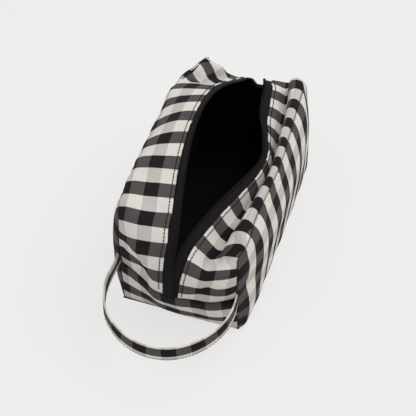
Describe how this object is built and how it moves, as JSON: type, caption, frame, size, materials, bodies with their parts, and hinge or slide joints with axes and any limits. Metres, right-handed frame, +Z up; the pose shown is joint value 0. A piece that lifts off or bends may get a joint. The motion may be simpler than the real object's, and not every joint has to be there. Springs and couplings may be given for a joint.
{
  "type": "toiletry bag",
  "caption": "Open boxy cloth toiletry bag with a checked cover, black lining, a zipper over the top and down both ends, and a sewn hang loop.",
  "frame": {"origin": "middle of the flat base, on the surface that the bag stands on", "axes": "+X along the bag away from the hang loop, +Y to the left side seen from the loop, +Z up"},
  "size_m": [0.3533, 0.1419, 0.1682],
  "materials": {
    "checked_cloth": "woven cotton check in off-white and black",
    "lining_cloth": "black plain-weave lining",
    "zipper_tape": "black herringbone zipper tape",
    "zipper_coil": "black nylon coil",
    "slider_metal": "black lacquered die-cast metal"
  },
  "bodies": {
    "bag": {"top_panel_left": "checked_cloth", "top_panel_right": "checked_cloth", "side_panel_left": "checked_cloth", "side_panel_right": "checked_cloth", "near_end_panel": "checked_cloth", "far_end_panel": "checked_cloth", "base_panel": "checked_cloth", "lining_top_left": "lining_cloth", "lining_top_right": "lining_cloth", "lining_side_left": "lining_cloth", "lining_side_right": "lining_cloth", "lining_near_end": "lining_cloth", "lining_far_end": "lining_cloth", "lining_base": "lining_cloth", "zipper_tape_left": "zipper_tape", "zipper_tape_right": "zipper_tape", "zipper_coil_left": "zipper_coil", "zipper_coil_right": "zipper_coil"},
    "slider": {"slider_body": "slider_metal"},
    "pull": {"pull_tab": "slider_metal"},
    "loop": {"handle_strap": "checked_cloth"}
  },
  "joints": [
    {"name": "slider_run", "type": "slide", "parent": "bag", "child": "slider", "axis": [0, 0, -1], "range_m": [0, 0.028], "deforming": ["zipper_coil_left", "zipper_coil_right"]},
    {"name": "pull_hinge", "type": "hinge", "parent": "slider", "child": "pull", "pos_m": [0.13585, -0.003, 0.092], "axis": [0, -1, 0], "range_deg": [0, 150]},
    {"name": "loop_hinge", "type": "hinge", "parent": "bag", "child": "loop", "pos_m": [-0.141, 0, 0.054], "axis": [0, 1, 0], "range_deg": [-22, 75]}
  ]
}
